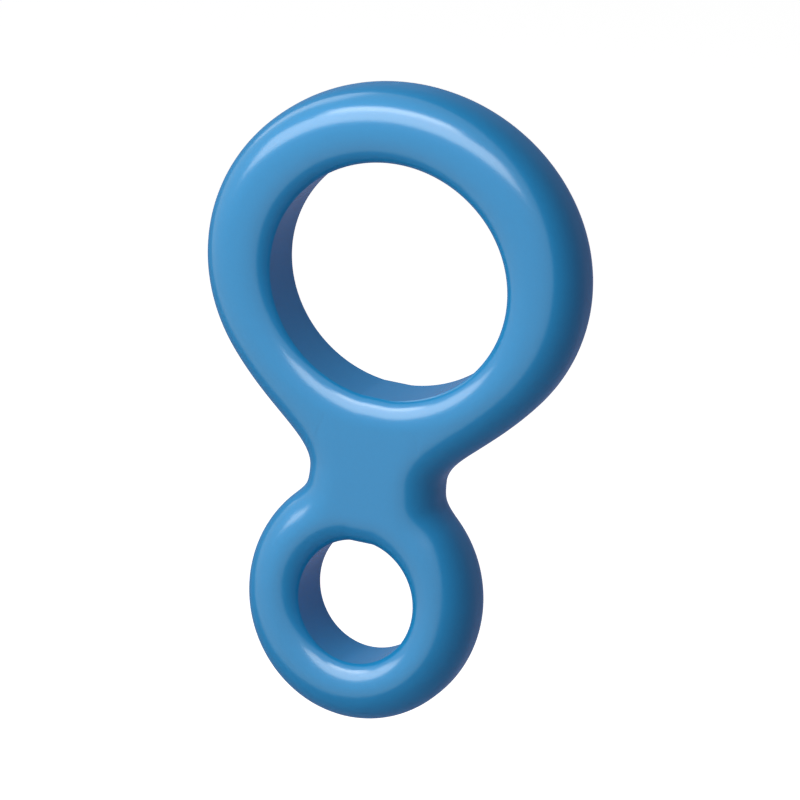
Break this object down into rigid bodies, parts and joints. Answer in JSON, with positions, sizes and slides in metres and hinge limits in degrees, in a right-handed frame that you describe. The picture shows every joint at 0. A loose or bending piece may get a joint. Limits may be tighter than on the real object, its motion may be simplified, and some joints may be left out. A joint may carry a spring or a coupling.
{
  "type": "figure eight descender",
  "caption": "Figure eight descender with a large rope ring and a small carabiner eye, joined by a short waisted neck with soft rounded edges.",
  "frame": {"origin": "centre of the small eye, halfway through its thickness, where a carabiner holds the part", "axes": "+Z along the length from the small eye to the large ring, thickness along Y with the front towards -Y, width along X"},
  "size_m": [0.085, 0.0194, 0.14],
  "materials": {
    "anodised_aluminium": "satin blue anodised"
  },
  "bodies": {
    "root": {"descender_body": "anodised_aluminium"}
  },
  "joints": []
}
